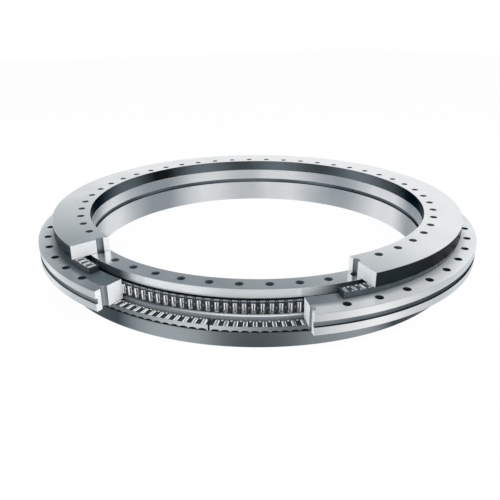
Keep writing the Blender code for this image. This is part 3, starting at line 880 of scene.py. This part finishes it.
def arch_edge(angles_deg, radius):
    """Height x sqrt(1 - (2 d / chord)^2), where d is how far the nearest roller's middle lies."""
    away = np.abs(angles_deg[:, None] - FLAT_OFFSETS[None, :]).min(1)
    share = 2 * np.radians(away) * radius / ARCH_CHORD
    return ARCH_HEIGHT * np.sqrt(np.maximum(1 - share**2, 0))


def rim_section(inner, outer, low, high, edge, angles_deg, level=None):
    """A rim's section at each angle, with small chamfers on its upper edges.

    A level is a height at which the outer face is divided, so that it can have two finishes.
    """
    ones = np.ones_like(angles_deg)
    corners = [(inner, high - edge), (inner + edge, high), (outer - edge, high)]
    corners += [(outer, height) for height in (high - edge, level, low) if height is not None]
    corners.append((inner, low))
    return np.stack([np.stack([radius * ones, height * ones], -1) for radius, height in corners])


def bar_section(radius):
    """Half-widths of a bar at each height: half the pitch there, less the roller and a clearance.

    At a height h over the roller's axis the roller reaches sqrt(R^2 - h^2) sideways. Above and
    below the axis the bar leans over the roller, down to the width of the pocket's mouth.
    """
    reach = np.sqrt((FLAT_DIAMETER / 2) ** 2 - (BAR_HEIGHTS - FLAT_DIAMETER / 2 - ROLLER_GAP) ** 2)
    return math.radians(FLAT_PITCH / 2) * radius - np.maximum(reach + BAR_CLEARANCE, POCKET_MOUTH)


def bar_along(inner, outer, half_widths, heights):
    """A bar along +X between two radii, as rows of a closed loop of (x, sideways, height).

    The half-widths are those at its two ends, each one number or one for each height.
    """
    up = np.concatenate([heights, heights[::-1], heights[:1]])
    rows = []
    for radius, half in zip((inner, outer), half_widths):
        half = np.broadcast_to(half, len(heights))
        sideways = np.concatenate([-half, half[::-1], -half[:1]])
        rows.append(np.stack([np.full(len(up), radius), sideways, up], -1))
    return np.stack(rows)


def bar_patches(bar, angles_deg, finish):
    """Copies of a bar at all angles, their ends closed."""
    return capped(turn_to(bar, angles_deg), finish, finish)


def end_block(side):
    """The solid block at an arc's end, from the last pocket to the end's plane, as two loops."""
    far = side * FLAT_SWEEP / 2
    height = np.array([ROLLER_GAP, TOP, TOP, ROLLER_GAP, ROLLER_GAP])
    loops = []
    for radius in (POCKET_INNER - BAR_OVERLAP, POCKET_OUTER + BAR_OVERLAP):
        near = side * (FLAT_OFFSETS[-1] + math.degrees(POCKET_HALF / radius))
        loops.append(around(radius, height, np.array([near, near, far, far, near])))
    return np.stack(loops)


ARC_STEPS = 240
FLAT_ANGLES = np.linspace(-FLAT_SWEEP / 2, FLAT_SWEEP / 2, ARC_STEPS + 1)
rim_inner = CAGE_OUTER - RIM_WALL
low_edge = ROLLER_GAP + arch_edge(FLAT_ANGLES, CAGE_OUTER)
arched_section = rim_section(rim_inner, CAGE_OUTER, low_edge, TOP, RIM_EDGE, FLAT_ANGLES)
plain_section = rim_section(rim_inner, CAGE_OUTER, ROLLER_GAP, TOP, RIM_EDGE, FLAT_ANGLES)
web_section = rim_section(
    POCKET_OUTER, rim_inner + WEB_STEP, ROLLER_GAP, TOP - WEB_STEP, WEB_STEP, FLAT_ANGLES
)
inner_section = rim_section(CAGE_INNER, POCKET_INNER, ROLLER_GAP, TOP, RIM_EDGE, FLAT_ANGLES[::2])
bar_ends = (POCKET_INNER - BAR_OVERLAP, POCKET_OUTER + BAR_OVERLAP)
bar = bar_along(*bar_ends, [bar_section(radius) for radius in bar_ends], BAR_HEIGHTS)
under_bar = BAR_HEIGHTS[0] + np.array([-TAB_THICKNESS, 0])
on_bar = BAR_HEIGHTS[-1] + np.array([0, TAB_THICKNESS])
# Thin near-white tabs on and under the ends of the bars: painted highlights.
tabs = (
    bar_along(POCKET_INNER, POCKET_INNER + TAB, (TAB_WIDE, TAB_NARROW), under_bar),
    bar_along(POCKET_INNER, POCKET_INNER + TAB, (TAB_WIDE, TAB_NARROW), on_bar),
    bar_along(POCKET_OUTER - TAB, POCKET_OUTER, (TAB_NARROW, TAB_WIDE), under_bar),
)
print("flat cage bars:", len(BAR_ANGLES), "to an arc")


# %% An arc of a flat row
def arc_placed(patches, middle_deg, raceway, up):
    """The patches turned to their place; up is 1 on a lower raceway and -1 under an upper one."""
    placed = []
    for points, faces, finish in patches:
        moved = points * np.array([1, 1, up]) + np.array([0, 0, raceway])
        placed.append((turn_to(moved, middle_deg)[0], faces, finish))
    return placed


flat_cage = (
    swept_ring(web_section, FLAT_ANGLES, 3, 3)
    + swept_ring(inner_section, FLAT_ANGLES[::2], 0, 3)
    + bar_patches(bar, BAR_ANGLES, 0)
    + [patch for tab in tabs for patch in bar_patches(tab, BAR_ANGLES, 2)]
    + [patch for side in (1, -1) for patch in capped(end_block(side), 0)]
)
arched_rim = swept_ring(arched_section, FLAT_ANGLES, 1, 3)
plain_rim = swept_ring(plain_section, FLAT_ANGLES, 1, 0)
flat_roller = laid(
    roller(FLAT_DIAMETER, FLAT_LENGTH), POCKET_INNER + END_PLAY, ROLLER_GAP + FLAT_DIAMETER / 2
)
# The first side starts at the top of a laid roller. It holds the dark line, the last the flank.
SIDE_FINISHES = np.zeros(ROLLER_SIDES, int)
SIDE_FINISHES[[0, -1]] = 1, 2
flat_rollers = roller_patches(flat_roller, FLAT_OFFSETS, SIDE_FINISHES)
flat_rows = (
    ("upper", 10, WINDOW + ARC, UPPER_BOTTOM, -1, plain_rim, plain_rim_steel, [roller_steel] * 3),
    ("lower", 12, WINDOW + LOWER_TURN, FLANGE_TOP, 1, arched_rim, banded_cage_rim,
     [flat_roller_steel, line_steel, flank_steel]),
)
for row, count, first_deg, raceway, up, rim, rim_finish, roller_finishes in flat_rows:
    for arc in range(count):
        middle = first_deg + (arc + 0.5) * ARC
        number = f"{arc + 1:02d}"
        make_piece(
            f"{row}_cage_arc_{number}", arc_placed(rim + flat_cage, middle, raceway, up),
            [cage_steel, rim_finish, cage_tab_highlight_steel, cage_shadow_steel],
            f"{row}_cage", [f"{row}_cage_segment_{number}"],
        )
        make_piece(
            f"{row}_rollers_{number}", arc_placed(flat_rollers, middle, raceway, up),
            roller_finishes, f"{row}_cage", smooth_deg=ROLLER_SMOOTH,
        )
    report(bpy.data.objects[f"{row}_cage_arc_01"])
report(bpy.data.objects["upper_rollers_01"])

# %% [markdown]
# ## Upright cage
#
# The third cage stands between the hub and the outer ring. It has a deep upper rim, a narrow
# lower rim and a post between every two rollers. Along the upper rim the face lies 0.4 mm back
# from the full radius, and at the middle of each post a rib 0.9 mm wide stands out to it. The
# rim's face is dark beside each rib and along its lower part, and lighter elsewhere. The rim's
# top, its inner chamfer and its underside are painted near black as shade. Each post has a
# shallow groove down its face, and at half height a lighter dimple.

# %% Sizes of the upright row
UPRIGHT_PER_ARC = 43
UPRIGHT_ARCS = 4
UPRIGHT_ARC = 360.0 / UPRIGHT_ARCS
ARC_SPACE = 1.6 * MM
UPRIGHT_TURN = 0.6
UPRIGHT_RADIUS = 325 * MM
UPRIGHT_BOTTOM = 37.8 * MM
WALL_INNER = 322.5 * MM
WALL_OUTER = 326.5 * MM
WALL_BOTTOM = 36.2 * MM
WALL_TOP = 55.5 * MM
UPRIGHT_POCKET = (37.5 * MM, 52.5 * MM)
UPRIGHT_HALF_POCKET = 3.8 * MM
RIM_DARK_TOP = 53.4 * MM
TOP_RIM_EDGE = 0.3 * MM
BOTTOM_RIM_EDGE = 0.2 * MM
UPRIGHT_PITCH = UPRIGHT_ARC / UPRIGHT_PER_ARC
UPRIGHT_SWEEP = UPRIGHT_ARC - math.degrees(ARC_SPACE / UPRIGHT_RADIUS)
UPRIGHT_OFFSETS = (np.arange(UPRIGHT_PER_ARC) - (UPRIGHT_PER_ARC - 1) / 2) * UPRIGHT_PITCH
print("upright rollers are", round(UPRIGHT_PITCH, 3), "degrees apart")


# %% Rims and posts of the upright cage
POST_ANGLES = (UPRIGHT_OFFSETS[:-1] + UPRIGHT_OFFSETS[1:]) / 2
RIB_HALF = 0.45 * MM
RIB_HEIGHT = 0.4 * MM
RIB_SLOPE = 0.05 * MM
DARK_HALF = 2.3 * MM
POST_FACE = WALL_OUTER - 0.3 * MM
POST_ENDS = (UPRIGHT_POCKET[0] - 0.1 * MM, UPRIGHT_POCKET[1] + 0.1 * MM)
POST_GROOVE = 0.5 * MM
DIMPLE = 0.6 * MM
POST_ACROSS = np.array([-1.0, -0.45, -0.2, 0.2, 0.45, 1.0])
POST_UP = np.array([0.0, 0.40, 0.44, 0.56, 0.60, 1.0])
GROOVE_SHARE = 0.3
DIMPLE_SHARE = 0.08
RIB_EDGES = np.array([-DARK_HALF, -RIB_HALF - RIB_SLOPE, -RIB_HALF + RIB_SLOPE,
                      RIB_HALF - RIB_SLOPE, RIB_HALF + RIB_SLOPE, DARK_HALF])
around_posts = (POST_ANGLES[:, None] + np.degrees(RIB_EDGES / WALL_OUTER)[None, :]).ravel()
RIM_ANGLES = np.concatenate([[-UPRIGHT_SWEEP / 2], around_posts, [UPRIGHT_SWEEP / 2]])


def from_post(angles_deg):
    """How far each angle lies from the nearest post's middle, along the wall."""
    away = np.abs(angles_deg[:, None] - POST_ANGLES[None, :]).min(1)
    return np.radians(away) * WALL_OUTER


rim_face = WALL_OUTER - np.where(from_post(RIM_ANGLES) < RIB_HALF, 0.0, RIB_HEIGHT)
top_rim = rim_section(
    WALL_INNER, rim_face, UPRIGHT_POCKET[1], WALL_TOP, TOP_RIM_EDGE, RIM_ANGLES, RIM_DARK_TOP
)
EVEN_ANGLES = np.linspace(-UPRIGHT_SWEEP / 2, UPRIGHT_SWEEP / 2, 2 * UPRIGHT_PER_ARC + 1)
bottom_rim = rim_section(
    WALL_INNER, WALL_OUTER, WALL_BOTTOM, UPRIGHT_POCKET[0], BOTTOM_RIM_EDGE, EVEN_ANGLES
)
step_from_post = from_post((RIM_ANGLES[:-1] + RIM_ANGLES[1:]) / 2)
on_rib = step_from_post < RIB_HALF + RIB_SLOPE
face_finish = np.select([on_rib, step_from_post < DARK_HALF], [1, 0], 1)
blued = np.zeros_like(face_finish)
# Near black, for painted shade on the rim's top, inner chamfer and underside.
black = blued + 2
TOP_RIM_FINISH = np.stack([black, black, face_finish, face_finish, blued, black, blued])


def half_post(radius):
    """Half a post's width at a radius: half the pitch there, less half a pocket."""
    return math.radians(UPRIGHT_PITCH / 2) * radius - UPRIGHT_HALF_POCKET


def post():
    """A post as rows of a closed loop; its face has a groove, and a dimple at half height."""
    grooved = (np.abs(POST_ACROSS) < GROOVE_SHARE)[None, :]
    dimpled = grooved & (np.abs(POST_UP - 0.5) < DIMPLE_SHARE)[:, None]
    low, high = POST_ENDS
    face = np.stack(np.broadcast_arrays(
        POST_FACE - grooved * POST_GROOVE - dimpled * DIMPLE,
        POST_ACROSS[None, :] * half_post(WALL_OUTER),
        (low + (high - low) * POST_UP)[:, None],
    ), -1)
    back = face[:, [0, -1]].copy()
    back[..., 0] = WALL_INNER
    back[..., 1] = np.array([-1, 1]) * half_post(WALL_INNER)
    return np.concatenate([back[:, :1], face, back[:, 1:], back[:, :1]], 1)


def end_post(side):
    """The half post at an arc's end, as two loops."""
    near = side * (UPRIGHT_OFFSETS[-1] + math.degrees(UPRIGHT_HALF_POCKET / WALL_OUTER))
    far = side * UPRIGHT_SWEEP / 2
    radius = np.array([WALL_INNER, POST_FACE, POST_FACE, WALL_INNER, WALL_INNER])
    angle = np.array([near, near, far, far, near])
    return np.stack([around(radius, height, angle) for height in POST_ENDS])


posts = turn_to(post(), POST_ANGLES)
post_finish = np.zeros((posts.shape[1] - 1, posts.shape[2] - 1), int)
post_finish[1:4, 2:5] = 1
upright_cage = (
    swept_ring(top_rim, RIM_ANGLES, TOP_RIM_FINISH, 0)
    + swept_ring(bottom_rim, EVEN_ANGLES, 0, 0)
    + capped(posts, np.tile(post_finish.ravel(), len(POST_ANGLES)))
    + [patch for side in (1, -1) for patch in capped(end_post(side), 0)]
)
upright_roller = stood(roller(UPRIGHT_DIAMETER, UPRIGHT_LENGTH), UPRIGHT_RADIUS, UPRIGHT_BOTTOM)
upright_rollers = roller_patches(upright_roller, UPRIGHT_OFFSETS)
for arc in range(UPRIGHT_ARCS):
    middle = WINDOW + UPRIGHT_TURN + arc * UPRIGHT_ARC
    make_piece(
        f"upright_cage_arc_{arc + 1}", arc_placed(upright_cage, middle, 0.0, 1),
        [cage_steel, cage_rim_steel, cage_shadow_steel],
        "radial_cage", [f"radial_cage_segment_{arc + 1}"],
    )
    make_piece(
        f"upright_rollers_{arc + 1}", arc_placed(upright_rollers, middle, 0.0, 1),
        [roller_steel], "radial_cage", smooth_deg=ROLLER_SMOOTH,
    )
report(bpy.data.objects["upright_cage_arc_1"])
report(bpy.data.objects["upright_rollers_1"])

# %% [markdown]
# ## Studio
#
# The bearing lies on a pale floor in a white room. Bright metal shows its surroundings, so the
# room that it mirrors matters more than the lamps. The camera itself sees plain white behind the
# part and nearly plain white on the floor, where the part's shadow still falls.
#
# In a mirror the floor is open, so walls show the white lower half of the room. The upper half
# is white near the horizon, falls to a cool grey at about a third of the way up and grows lighter
# again overhead. It leans: with direction d its tone follows height(d) + 0.176 d . left, so that
# it is darker to the left. Low on the front hang two dark flags, one over the other. The upper
# one is within 26 to 34 degrees of the front and starts at a height of -0.44. It is what each
# upright roller shows as a dark stripe. The lower one starts at -0.51 and is softer, full within
# 14 degrees and gone at 30, and darkens the middle of the flange. The two lamps don't show in
# the metal.

# %% Floor
floor_mesh = bpy.data.meshes.new("floor")
SIDE = 6.0
FLOOR_DROP = 0.4 * MM
FLOOR_WHITE = 0.97
floor_corners = [(-SIDE, -SIDE), (SIDE, -SIDE), (SIDE, SIDE), (-SIDE, SIDE)]
floor_mesh.from_pydata([(x, y, -FLOOR_DROP) for x, y in floor_corners], [], [(0, 1, 2, 3)])
floor = new_object("floor", floor_mesh)
paper, tree, shader = new_finish("white_paper_floor", "#f2f3f4", 0.0, 0.9)
shader.inputs["Specular IOR Level"].default_value = 0.0
rays = add_node(tree, "LightPath")
white = add_node(tree, "Emission", {"Color": (1, 1, 1, 1), "Strength": 1.0})
share = add_node(
    tree, "Math", {0: rays["Is Camera Ray"], 1: FLOOR_WHITE}, operation="MULTIPLY"
)["Value"]
shaded = add_node(tree, "MixShader", {0: share, 1: shader.outputs["BSDF"], 2: white["Emission"]})
mirrored = add_node(
    tree, "Math", {0: rays["Is Glossy Ray"], 1: rays["Is Transmission Ray"]}, operation="MAXIMUM"
)["Value"]
open_floor = add_node(tree, "BsdfTransparent")
mixed = add_node(tree, "MixShader", {0: mirrored, 1: shaded["Shader"], 2: open_floor["BSDF"]})
tree.links.new(mixed["Shader"], tree.nodes["Material Output"].inputs["Surface"])
floor_mesh.materials.append(paper)
print("floor", 2 * SIDE, "m square")

# %% Room
world = bpy.data.worlds.new("white_room")
bpy.context.scene.world = world
world.use_nodes = True
tree = world.node_tree
tree.nodes.clear()
direction = add_node(tree, "TexCoord")["Generated"]
height = add_node(tree, "SeparateXYZ", {"Vector": direction})["Z"]
LEFT = (-0.8434, 0.5373, 0.0)
LEAN = 0.176
leftness = add_node(tree, "VectorMath", {0: direction, 1: LEFT}, operation="DOT_PRODUCT")["Value"]
leaning = add_node(
    tree, "Math", {0: leftness, 1: LEAN, 2: height}, operation="MULTIPLY_ADD"
)["Value"]
fall = add_node(
    tree, "ValToRGB", {"Fac": leaning},
    stops=[(0.0, "#ffffff"), (0.16, "#ffffff"), (0.20, "#e2e5e7"), (0.24, "#ebedef"),
           (0.28, "#ffffff"), (0.34, "#f4f6f7"), (0.365, "#a1abb0"), (0.41, "#7b868c"),
           (0.55, "#6f7a80"), (0.88, "#c9ced1")],
)["Color"]
FRONT = (-0.5373, -0.8434, 0.0)
UPPER_FLAG = ((34, 26), (-0.425, -0.440), 0.95)
LOWER_FLAG = ((30, 14), (-0.500, -0.510), 0.80)
level_direction = add_node(
    tree, "VectorMath", {0: direction, 1: (1.0, 1.0, 0.0)}, operation="MULTIPLY"
)["Vector"]
heading = add_node(tree, "VectorMath", {0: level_direction}, operation="NORMALIZE")["Vector"]
frontness = add_node(tree, "VectorMath", {0: heading, 1: FRONT}, operation="DOT_PRODUCT")["Value"]
flag_shapes = []
for edges_deg, heights, _ in (UPPER_FLAG, LOWER_FLAG):
    ends = [math.cos(math.radians(edge)) for edge in edges_deg]
    flag_shapes.append([
        add_node(tree, "MapRange", {"Value": value, "From Min": start, "From Max": full})["Result"]
        for value, start, full in ((frontness, *ends), (height, *heights))
    ])
(upper_width, upper_height), (lower_width, lower_height) = flag_shapes
between = add_node(tree, "Math", {0: upper_height, 1: lower_height}, operation="SUBTRACT")["Value"]
shade = 1.0
for width, part, strength in (
    (upper_width, between, UPPER_FLAG[2]), (lower_width, lower_height, LOWER_FLAG[2])
):
    covered = add_node(tree, "Math", {0: width, 1: part}, operation="MULTIPLY")["Value"]
    shade = add_node(
        tree, "Math", {0: covered, 1: -strength, 2: shade}, operation="MULTIPLY_ADD"
    )["Value"]
room = add_node(tree, "Background", {"Color": fall, "Strength": shade})
plain = add_node(tree, "Background", {"Color": (1, 1, 1, 1), "Strength": 1.0})
rays = add_node(tree, "LightPath")
seen = add_node(
    tree, "MixShader", {0: rays["Is Camera Ray"], 1: room["Background"], 2: plain["Background"]}
)
add_node(tree, "OutputWorld", {"Surface": seen["Shader"]})
print("room set")


# %% Lamps
def matrix_of(right, up, back, place):
    """The matrix of a lamp or camera, which looks along its own -Z: its columns are these four."""
    matrix = np.eye(4)
    matrix[:3] = np.stack([right, up, back, place], 1)
    return Matrix(matrix.tolist())


def soft_lamp(name, place, size, watts):
    """A square lamp at a place, turned to look at the origin. It doesn't show in the metal."""
    data = bpy.data.lights.new(name, "AREA")
    data.size = size
    data.energy = watts
    lamp = new_object(name, data)
    back = np.array(place) / np.linalg.norm(place)
    right = np.cross((0, 0, 1), back)
    right = right / np.linalg.norm(right)
    lamp.matrix_world = matrix_of(right, np.cross(back, right), back, place)
    lamp.visible_glossy = False


soft_lamp("key_lamp", (0.6, -1.4, 1.6), 1.2, 32)
soft_lamp("fill_lamp", (-1.8, 0.2, 1.2), 1.4, 22)
print("lamps:", 2)

# %% [markdown]
# ## Camera
#
# The view is from above and to one side. The camera's place and direction were found from the
# bolt holes, whose circle and pitch are known. It is level but for a quarter of a degree.

# %% Camera
LENS = 39.161
PLACE = np.array([-0.5159, -0.7871, 0.3828])
FORWARD = np.array([0.49576, 0.77819, -0.38555])
ROLL = math.radians(-0.2239)
SENSOR = 36.0
NEAREST = 10 * MM
forward = FORWARD / np.linalg.norm(FORWARD)
level = np.cross(forward, (0, 0, 1))
level = level / np.linalg.norm(level)
upright = np.cross(level, forward)
right = math.cos(ROLL) * level + math.sin(ROLL) * upright
up = -math.sin(ROLL) * level + math.cos(ROLL) * upright
camera_data = bpy.data.cameras.new("camera")
camera_data.sensor_width = SENSOR
camera_data.lens = LENS
camera_data.clip_start = NEAREST
camera = new_object("camera", camera_data)
camera.matrix_world = matrix_of(right, up, -forward, PLACE)
bpy.context.scene.camera = camera
bpy.context.scene.view_settings.view_transform = "Standard"
print("camera at", PLACE.tolist())

# %% [markdown]
# ## Finish
#
# The dressed part keeps the size of its solids. The last line brings the scene up to date.

# %% Finish
bpy.context.view_layer.update()
